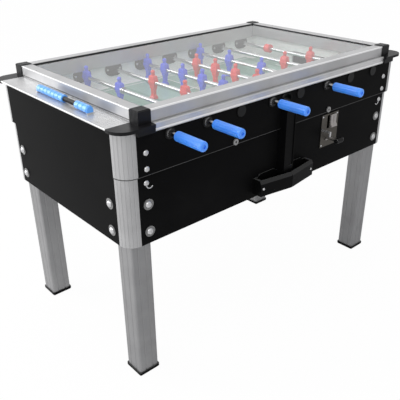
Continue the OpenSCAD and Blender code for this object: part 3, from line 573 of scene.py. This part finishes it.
@dataclass(frozen=True)
class Moulding(Finish):
    """Moulded plastic with a faint orange-peel surface."""

    colour: Colour = (0.04, 0.04, 0.045)
    rough: float = 0.4
    peel: float = 0.00003
    coat: float = 0.0
    shine: float = 0.5
    # dust paints faces that face up lighter, as dust and as a painted highlight
    dust: float = 0.0
    glow: float = 0.0
    dust_and_sheen_colour: Colour = (0.5, 0.5, 0.5)
    fade: float = 0.82
    peel_count: float = 420.0
    drift_count: float = 11.0
    peel_rough: float = 0.05
    drift_rough: float = 0.14
    coat_rough: float = 0.12
    glow_depth: float = 0.01
    glow_spread: Colour = (0.3, 0.6, 1.0)

    def paint(self, graph: Graph) -> None:
        """Builds the peel, colour drift, and dust with a painted highlight on what faces up.

        Args:
            graph: The material's graph.
        """
        peel = graph.noise((self.peel_count,) * 3)
        drift = graph.noise((self.drift_count,) * 3)
        darker = tuple(c * self.fade for c in self.colour)
        colour = graph.mix(drift.smooth(0.35, 0.7), self.colour, darker)
        # Faces that face up are painted lighter grey, as dust and as a painted highlight
        if self.dust:
            dust_and_sheen = graph.upward().smooth(0.2, 0.7, 0.0, self.dust)
            colour = graph.mix(dust_and_sheen, colour, self.dust_and_sheen_colour)
        rough = self.rough + (drift - 0.5) * self.drift_rough + (peel - 0.5) * self.peel_rough
        height = peel * self.peel + self.ribs(graph)
        graph.principled(
            Base_Color=colour, Roughness=rough, Specular_IOR_Level=self.shine,
            Coat_Weight=self.coat, Coat_Roughness=self.coat_rough, Subsurface_Weight=self.glow,
            Subsurface_Scale=self.glow_depth, Subsurface_Radius=self.glow_spread,
            Normal=graph.bump(height))

    def ribs(self, graph: Graph) -> "Value | float":
        """Gives the height of any moulded ribs, in metres, here none."""
        return 0.0


@dataclass(frozen=True)
class RibbedMoulding(Moulding):
    """Moulded plastic with upright gripping ribs on the sides of the posts."""

    pitch: float = 0.0065
    depth: float = 0.0008
    foot: float = 0.951

    def ribs(self, graph: Graph) -> "Value | float":
        """Gives the height of the ribs, in metres, on what stands above the posts' foot.

        Args:
            graph: The material's graph.

        Returns:
            The height.
        """
        _, y, z = graph.place()
        wave = abs((y / self.pitch) % 1.0 - 0.5) * 2.0
        return wave.smooth(0.2, 0.8) * (z > self.foot) * self.depth


@dataclass(frozen=True)
class FieldPrint(Finish):
    """Green field with cross bands and white lines, and white ramps at its edges."""

    half_length: float = 0.61
    half_width: float = 0.345
    level: float = 0.826
    slack: float = 0.0002
    texture: float = 0.00003
    line: float = 0.0035
    bands: int = 12
    circle: float = 0.105
    spot: float = 0.012
    touch_inset: float = 0.022
    boxes: "tuple[tuple[float, float], ...]" = ((0.165, 0.215), (0.075, 0.135))
    green: Colour = (0.38, 0.56, 0.49)
    dark_green: Colour = (0.24, 0.42, 0.34)
    white: Colour = (0.88, 0.89, 0.88)
    worn: Colour = (0.30, 0.36, 0.30)
    wear_cover: float = 0.12
    wear_count: Point = (9.0, 14.0, 9.0)
    fine_count: float = 300.0
    rough: float = 0.30
    fine_rough: float = 0.08
    wear_rough: float = 0.10

    def paint(self, graph: Graph) -> None:
        """Builds the bands, the lines and the worn sheen.

        Args:
            graph: The material's graph.
        """
        x, y, z = graph.place()
        width = 2.0 * self.half_length / self.bands
        band = ((x + self.half_length) / (2.0 * width)) % 1.0
        colour = graph.mix(band > 0.5, self.green, self.dark_green)
        colour = graph.mix(self.lines(x, y), colour, self.white)
        fine = graph.noise((self.fine_count,) * 3)
        wear = graph.noise(self.wear_count, detail=4.0)
        colour = graph.mix(wear.smooth(0.45, 0.75) * self.wear_cover, colour, self.worn)
        colour = graph.mix(z > self.level + self.slack, colour, self.white)
        rough = self.rough + (fine - 0.5) * self.fine_rough + wear * self.wear_rough
        graph.principled(
            Base_Color=colour, Roughness=rough, Normal=graph.bump(fine, self.texture))

    def lines(self, x: Value, y: Value) -> Value:
        """Gives the mask of the middle line, circle and spot, the goal boxes and the touch lines.

        Args:
            x: Place along the field.
            y: Place across the field.

        Returns:
            1 on a line and 0 elsewhere.
        """
        far = abs(x)
        side = abs(y)
        radius = (x * x + y * y).maths("SQRT")
        circle = abs(radius - self.circle) < self.line
        mask = (far < self.line) | circle | (radius < self.spot)
        for length, half in self.boxes:
            start = self.half_length - length
            front = (abs(far - start) < self.line) & (side < half)
            flank = (abs(side - half) < self.line) & (far > start)
            mask = mask | front | flank
        return mask | (abs(side - (self.half_width - self.touch_inset)) < self.line)


@dataclass(frozen=True)
class ClearPane(Finish):
    """Toughened glass with a little haze of dust and wiping."""

    tint: Colour = (0.995, 0.998, 0.997)
    dust: Colour = (0.80, 0.82, 0.82)
    dust_low: float = 0.04
    dust_high: float = 0.07
    wipe_count: Point = (5.0, 9.0, 5.0)
    rough: float = 0.03
    index: float = 1.5

    def paint(self, graph: Graph) -> None:
        """Builds clear glass that lets straight light through, with wiped dust.

        Args:
            graph: The material's graph.
        """
        wipe = graph.noise(self.wipe_count, detail=5.0, roughness=0.65)
        outside = 1.0 - graph.add("ShaderNodeNewGeometry", output="Backfacing")
        gloss = graph.add("ShaderNodeBsdfGlossy", inputs={"Roughness": self.rough})
        clear = graph.add("ShaderNodeBsdfTransparent", inputs={"Color": graph.rgba(self.tint)})
        dust = graph.add("ShaderNodeBsdfDiffuse", inputs={"Color": graph.rgba(self.dust)})
        sheen = graph.add("ShaderNodeFresnel", inputs={"IOR": self.index})
        haze = wipe.smooth(0.3, 0.8, self.dust_low, self.dust_high) * outside
        film = graph.blend(haze, clear, dust)
        graph.surface(graph.blend(sheen * outside, film, gloss))


@dataclass(frozen=True)
class StudioFloor(Finish):
    """Pale floor that reads as white and keeps a soft shadow."""

    colour: Colour = (0.80, 0.80, 0.80)
    cloud: Colour = (0.76, 0.76, 0.76)
    cloud_cover: float = 0.05
    cloud_count: float = 2.0
    shade: Colour = (0.60, 0.60, 0.61)
    reach: "tuple[float, float]" = (-0.6, 1.6)
    eye_share: float = 0.97

    def paint(self, graph: Graph) -> None:
        """Builds a pale floor, white to the eye, and greyer in reflections away from the bright side.

        Args:
            graph: The material's graph.
        """
        x, y, _ = graph.place()
        share = (y * BRIGHT_Y - x * BRIGHT_X).smooth(*self.reach)
        clouds = graph.noise((self.cloud_count,) * 3, detail=2.0)
        colour = graph.mix(clouds * self.cloud_cover, self.colour, self.cloud)
        colour = graph.mix(graph.ray("Glossy") * (1.0 - share), colour, self.shade)
        pale = graph.add("ShaderNodeBsdfDiffuse", inputs={"Color": colour})
        white = graph.add("ShaderNodeEmission", inputs={"Color": WHITE, "Strength": 1.0})
        graph.surface(graph.blend(graph.seen(share, self.eye_share), pale, white))


class Shape:
    """Mesh building for the trim pieces."""

    @staticmethod
    def piece(name: str, mesh: bmesh.types.BMesh, finish: Finish, body: str) -> bpy.types.Object:
        """Turns a bmesh into a piece that rides on a body.

        Args:
            name: The piece's name.
            mesh: The mesh, which is freed.
            finish: The piece's finish.
            body: The body that it moves with.

        Returns:
            The new object.
        """
        data = bpy.data.meshes.new(name)
        bmesh.ops.recalc_face_normals(mesh, faces=mesh.faces)
        mesh.to_mesh(data)
        mesh.free()
        item = bpy.data.objects.new(name, data)
        bpy.context.scene.collection.objects.link(item)
        data.materials.append(finish.material())
        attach(item, body)
        log.info("built %s on %s", name, body)
        return item

    @staticmethod
    def frame_ring(
        mesh: bmesh.types.BMesh, half_x: float, half_y: float, width: float, low: float, high: float
    ) -> None:
        """Adds a flat rectangular ring.

        Args:
            mesh: The mesh to add to.
            half_x: The outer half length.
            half_y: The outer half width.
            width: The ring's width, inwards.
            low: The height of its underside.
            high: The height of its top.
        """
        loops = []
        for inset in (0.0, width):
            for z in (low, high):
                x, y = half_x - inset, half_y - inset
                corners = ((-x, -y), (x, -y), (x, y), (-x, y))
                loops.append([mesh.verts.new((a, b, z)) for a, b in corners])
        outer_low, outer_high, inner_low, inner_high = loops
        for first, second in (
            (outer_low, outer_high), (outer_high, inner_high),
            (inner_high, inner_low), (inner_low, outer_low),
        ):
            for k in range(4):
                n = (k + 1) % 4
                mesh.faces.new((first[k], first[n], second[n], second[k]))

    @staticmethod
    def turned(
        mesh: bmesh.types.BMesh, profile: Profile, axis: Axis, centre: Point, steps: int = 48
    ) -> None:
        """Adds a turned form whose profile starts and ends on its axis.

        Args:
            mesh: The mesh to add to.
            profile: Places along the axis with their radii, of which the first and last are 0.
            axis: The axis it turns about.
            centre: The point that the places are measured from.
            steps: The number of sides.
        """
        origin = Vector(centre)
        along = Vector([1.0 if step is axis else 0.0 for step in Axis])
        across = Vector((1.0, 0.0, 0.0) if axis is Axis.Z else (0.0, 0.0, 1.0))
        up = along.cross(across)
        angles = [2.0 * math.pi * k / steps for k in range(steps)]
        first, last = (mesh.verts.new(origin + along * profile[k][0]) for k in (0, -1))
        rings = [
            [mesh.verts.new(origin + along * a + (across * math.cos(t) + up * math.sin(t)) * r)
             for t in angles]
            for a, r in profile[1:-1]
        ]
        for k in range(steps):
            n = (k + 1) % steps
            mesh.faces.new((first, rings[0][k], rings[0][n]))
            mesh.faces.new((last, rings[-1][n], rings[-1][k]))
            for here, there in zip(rings, rings[1:]):
                mesh.faces.new((here[k], there[k], there[n], here[n]))


@dataclass(frozen=True)
class Finishes:
    """All finishes of the table."""

    leg: Finish = Metal("leg_aluminium", (0.33, 0.33, 0.335), Axis.Z, 0.44, bare=0.8)
    # Painted shade in the seam between the upper and lower columns
    column: Finish = EdgedMetal(
        "column_aluminium", (0.48, 0.48, 0.485), Axis.Z, 0.48, bare=0.8,
        seams=((0.0, 0.0, 0.778, 0.7865),))
    # Painted highlights on the rail's edges
    rail: Finish = EdgedMetal(
        "rail_aluminium", (0.70, 0.70, 0.705), Axis.X, 0.46, bare=0.8, lug_level=0.9482,
        edges=((0.0, 0.398, 0.9210, 0.9260), (0.0, 0.389, 0.9430, 0.9480)))
    # Painted highlights on the frame's edges and painted shade in the seam at its foot
    frame: Finish = EdgedMetal(
        "frame_aluminium", (0.55, 0.55, 0.557), Axis.X, 0.42, bare=0.8,
        edges=((0.0, 0.382, 0.977, 0.990), (0.627, 0.0, 0.9795, 0.990)),
        seams=((0.6265, 0.0, 0.9465, 0.9505),))
    cap: Finish = RibbedMoulding("cap_plastic", (0.007, 0.007, 0.008), 0.38, shine=0.16)
    steel: Finish = BushSteel("fixing_steel", (0.60, 0.60, 0.61), Axis.Z, 0.25, 0.000008, 0.08, 0.75)
    # Painted shade on the washers of the leg bolts
    bolt: Finish = BoltSteel("bolt_steel", (0.60, 0.60, 0.61), Axis.Z, 0.25, 0.000008, 0.08, 0.75)
    lock: Finish = Metal("lock_steel", (0.34, 0.34, 0.34), Axis.Z, 0.30, 0.000008, 0.08, 0.7)
    rod: Finish = Metal("rod_steel", (0.66, 0.66, 0.67), Axis.Y, 0.16, 0.000006, 0.04)
    plate: Finish = CoinSteel("coin_plate_steel", (0.13, 0.12, 0.105), Axis.Z, 0.42, 0.00003, 0.2)
    slide: Finish = Metal("coin_slide_steel", (0.60, 0.60, 0.60), Axis.Y, 0.30)
    board: Finish = Laminate("black_laminate")
    wall: Finish = Laminate("white_laminate", (0.93, 0.94, 0.93), 0.34, 0.00002, -0.03, 0.4)
    # Faces that face up are painted lighter, as dust and as a painted highlight
    black: Finish = Moulding("black_plastic", (0.003, 0.003, 0.0032), 0.36, shine=0.05, dust=0.11)
    bearing: Finish = Moulding("bearing_plastic", (0.006, 0.006, 0.0065), 0.42, shine=0.2)
    near_team: Finish = Moulding("near_team_plastic", (0.05, 0.10, 0.88), 0.28, coat=0.3)
    far_team: Finish = Moulding("far_team_plastic", (0.92, 0.045, 0.04), 0.28, coat=0.3)
    near_grip: Finish = Moulding("near_grip_plastic", (0.07, 0.30, 0.98), 0.28, coat=0.3, glow=0.3)
    far_grip: Finish = Moulding("far_grip_plastic", (0.80, 0.05, 0.03), 0.28, coat=0.3, glow=0.3)
    near_bead: Finish = Moulding("near_bead_plastic", (0.12, 0.40, 0.98), 0.30, coat=0.2)
    pitch: Finish = FieldPrint("field_print")
    glass: Finish = ClearPane("clear_glass")
    gasket: Finish = Moulding("gasket_rubber", (0.012, 0.012, 0.013), 0.6, shine=0.3)
    studio: Finish = StudioFloor("studio_floor")


@dataclass
class Assembly:
    """A sub-assembly of the table."""

    finishes: Finishes
    nodes: "dict[str, bpy.types.Object]"

    def dress(self, finish: Finish, *names: str) -> None:
        """Gives CAD nodes their finish.

        Args:
            finish: The finish.
            names: The nodes.
        """
        for name in names:
            item = self.nodes[name]
            material = finish.material()
            item.data.materials.clear()
            item.data.materials.append(material)
            log.info("dressed %s with %s", name, material.name)

    def build(self) -> None:
        """Dresses the sub-assembly's nodes and builds its trim."""
        raise NotImplementedError


@dataclass
class LowerCabinet(Assembly):
    """Legs, columns, boards and the ball and coin parts in them."""

    handle_radius: float = 0.010
    sleeve_skin: float = 0.0003
    end_fall: float = 0.002
    end_run: float = 0.0015
    groove_top: float = 0.0012
    groove_floor: float = 0.0006
    grooves: int = 5

    def build(self) -> None:
        """Dresses the lower cabinet and adds the sleeve of the push handle."""
        f = self.finishes
        self.dress(f.leg, "legs")
        self.dress(f.column, "lower_columns")
        self.dress(f.board, "lower_panels")
        self.dress(f.bolt, "lower_fixings")
        self.dress(f.black, "foot_caps", "ball_return", "ball_runs")
        self.dress(f.plate, "coin_plate")
        self.dress(f.slide, "coin_slide", "ball_gate")
        self.sleeve()

    def sleeve(self) -> None:
        """Builds the moulded sleeve with finger grooves over the handle of the coin slide."""
        low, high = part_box("coin_slide")
        centre = ((low.x + high.x) / 2, low.y + self.handle_radius, low.z + self.handle_radius)
        half = (high.x - low.x) / 2 + self.sleeve_skin
        outer = self.handle_radius + 2.0 * self.sleeve_skin
        valley = self.handle_radius + self.sleeve_skin
        profile = [(-half, 0.0), (-half, outer - self.end_fall), (self.end_run - half, outer)]
        for k in range(self.grooves):
            place = (k + 0.5 - self.grooves / 2) * 2.0 * (half - 2.0 * self.end_run) / self.grooves
            profile += [(place - self.groove_top, outer), (place - self.groove_floor, valley),
                        (place + self.groove_floor, valley), (place + self.groove_top, outer)]
        profile += [(half - self.end_run, outer), (half, outer - self.end_fall), (half, 0.0)]
        mesh = bmesh.new()
        Shape.turned(mesh, tuple(profile), Axis.X, centre)
        Shape.piece("coin_handle_sleeve", mesh, self.finishes.bearing, "coin_slide")


@dataclass
class UpperCabinet(Assembly):
    """Columns, boards, rails, caps and the glass frame."""

    gasket_inset: float = 0.025
    gasket_width: float = 0.004
    gasket_height: float = 0.003
    lock_place: float = 0.250
    lock_radius: float = 0.011
    key_face: Profile = (
        (-0.0006, 0.0), (-0.0006, 0.0029), (-0.0002, 0.0035), (0.0012, 0.0035), (0.0012, 0.0))
    screw_radius: float = 0.0035
    screw_rim: float = 0.0004
    screw_rise: float = 0.0016
    screw_root: float = -0.001
    screw_inset: float = 0.0085
    screw_places: "tuple[float, float]" = (-0.268, 0.245)

    def build(self) -> None:
        """Dresses the upper cabinet and adds the gasket, the key faces and the flange screws."""
        f = self.finishes
        self.dress(f.column, "upper_columns")
        self.dress(f.board, "upper_panels")
        self.dress(f.wall, "inner_walls")
        self.dress(f.pitch, "playfield")
        self.dress(f.black, "ball_guides", "score_bars")
        self.dress(f.bearing, "rod_bearings")
        self.dress(f.rail, "top_rails")
        self.dress(f.frame, "glass_frame")
        self.dress(f.cap, "corner_caps")
        self.dress(f.glass, "glass_pane")
        self.dress(f.steel, "upper_fixings")
        self.dress(f.lock, "lid_lock_left", "lid_lock_right")
        self.gasket()
        self.lock_faces()
        self.flange_screws()

    def gasket(self) -> None:
        """Builds the rubber gasket on the glass along the frame's inner edge."""
        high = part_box("glass_pane")[1]
        mesh = bmesh.new()
        Shape.frame_ring(
            mesh, high.x - self.gasket_inset, high.y - self.gasket_inset, self.gasket_width,
            high.z, high.z + self.gasket_height)
        Shape.piece("glass_gasket", mesh, self.finishes.gasket, "upper_cabinet")

    def flange_screws(self) -> None:
        """Builds the low screws in the flanges of the frame's two short sides."""
        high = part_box("glass_frame")[1]
        root, radius, rise = self.screw_root, self.screw_radius, self.screw_rise
        profile = ((root, 0.0), (root, radius), (self.screw_rim, radius),
                   (0.7 * rise, 0.8 * radius), (rise, 0.4 * radius), (rise, 0.0))
        mesh = bmesh.new()
        for side in (-1.0, 1.0):
            for place in self.screw_places:
                centre = (side * (high.x - self.screw_inset), place, high.z)
                Shape.turned(mesh, profile, Axis.Z, centre, 24)
        Shape.piece("flange_screws", mesh, self.finishes.steel, "upper_cabinet")

    def lock_faces(self) -> None:
        """Builds the dark key face of each lock."""
        for side in ("left", "right"):
            low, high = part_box(f"lid_lock_{side}")
            place = -self.lock_place if side == "left" else self.lock_place
            centre = (place, low.y, high.z - self.lock_radius)
            mesh = bmesh.new()
            Shape.turned(mesh, self.key_face, Axis.Y, centre)
            Shape.piece(f"lock_face_{side}", mesh, self.finishes.bearing, f"lock_{side}")


@dataclass
class Rods(Assembly):
    """Eight telescopic rods with their players and grips."""

    sides: "tuple[Team, ...]" = (
        Team.NEAR, Team.NEAR, Team.FAR, Team.NEAR, Team.FAR, Team.NEAR, Team.FAR, Team.FAR)

    def build(self) -> None:
        """Dresses each rod in its team's colours."""
        f = self.finishes
        for number, side in enumerate(self.sides, 1):
            near = side is Team.NEAR
            self.dress(f.rod, f"rod{number}_inner", f"rod{number}_tube")
            self.dress(f.near_team if near else f.far_team, f"rod{number}_men")
            self.dress(f.near_grip if near else f.far_grip, f"rod{number}_grip")


@dataclass
class ScoreCounters(Assembly):
    """Beads on the two end shelves."""

    def build(self) -> None:
        """Dresses the beads."""
        f = self.finishes
        self.dress(f.near_bead, "score_beads_left_far", "score_beads_left_near")
        self.dress(f.far_team, "score_beads_right_far", "score_beads_right_near")


@dataclass
class Studio:
    """Floor, light and camera."""

    finishes: Finishes
    eye: Point = (-1.4926, -1.6442, 1.4865)
    heading: Point = (0.58152, 0.67179, -0.45885)
    roll: float = -0.0131
    lens: float = 50.687
    sensor: float = 36.0
    reach: "tuple[float, float]" = (0.05, 100.0)
    floor_size: float = 30.0
    floor_drop: float = 0.0005
    surround: float = 0.80
    bright_gain: float = 0.22
    dark_loss: float = 0.24
    bright_up: float = 0.6
    spread: float = 0.7
    aim: Point = (0.0, 0.0, 0.8)

    def build(self) -> None:
        """Builds the floor, the world, the lamps and the camera."""
        self.floor()
        self.world()
        self.lamp("key", (-3.4, -1.2, 3.4), 2.6, 40.0)
        self.lamp("side", (-2.5, 2.4, 1.9), 2.2, 66.0)
        self.camera()

    def floor(self) -> None:
        """Lays the floor just under the feet."""
        mesh = bmesh.new()
        bmesh.ops.create_grid(mesh, x_segments=1, y_segments=1, size=self.floor_size)
        data = bpy.data.meshes.new("floor")
        mesh.to_mesh(data)
        mesh.free()
        item = bpy.data.objects.new("floor", data)
        item.location.z = -self.floor_drop
        data.materials.append(self.finishes.studio.material())
        bpy.context.scene.collection.objects.link(item)

    def world(self) -> None:
        """Builds a soft surround, white to the eye, and dimmer on its dark side."""
        world = bpy.data.worlds.new("surround")
        bpy.context.scene.world = world
        graph = Graph(world)
        east, north, up = graph.parts(graph.add("ShaderNodeTexCoord", output="Generated"))
        side = north * BRIGHT_Y - east * BRIGHT_X + up * self.bright_up
        lit = side.smooth(-self.spread, self.spread)
        loss = graph.ray("Glossy") * (1.0 - lit) * self.dark_loss
        level = self.surround + lit * self.bright_gain - loss
        dim, white = (
            graph.add("ShaderNodeBackground", inputs={"Color": WHITE, "Strength": strength})
            for strength in (level, 1.0))
        graph.surface(graph.blend(graph.seen(lit), dim, white))

    def lamp(self, name: str, place: Point, size: float, watts: float) -> None:
        """Adds a square soft lamp that faces the table.

        Args:
            name: The lamp's name.
            place: Where it hangs.
            size: Its side.
            watts: Its power.
        """
        data = bpy.data.lights.new(name, "AREA")
        data.size = size
        data.energy = watts
        item = bpy.data.objects.new(name, data)
        item.location = place
        aim = Vector(self.aim) - Vector(place)
        item.rotation_euler = aim.to_track_quat("-Z", "Y").to_euler()
        item.visible_camera = False
        bpy.context.scene.collection.objects.link(item)

    def camera(self) -> None:
        """Places the camera."""
        forward = Vector(self.heading).normalized()
        side = forward.cross(Vector((0.0, 0.0, 1.0))).normalized()
        up = side.cross(forward)
        c, s = math.cos(self.roll), math.sin(self.roll)
        right, top = side * c + up * s, up * c - side * s
        data = bpy.data.cameras.new("camera")
        data.lens = self.lens
        data.sensor_width = self.sensor
        data.clip_start, data.clip_end = self.reach
        item = bpy.data.objects.new("camera", data)
        turn = Matrix((right, top, -forward)).transposed()
        item.matrix_world = Matrix.Translation(self.eye) @ turn.to_4x4()
        bpy.context.scene.collection.objects.link(item)
        bpy.context.scene.camera = item


def main() -> None:
    """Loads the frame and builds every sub-assembly in order."""
    logging.basicConfig(level=logging.INFO, format="%(message)s")
    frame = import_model()
    bpy.context.scene.view_settings.view_transform = "Standard"
    finishes = Finishes()
    nodes = frame["nodes"]
    for kind in (LowerCabinet, UpperCabinet, Rods, ScoreCounters):
        kind(finishes, nodes).build()
    Studio(finishes).build()


if __name__ == "__main__":
    main()
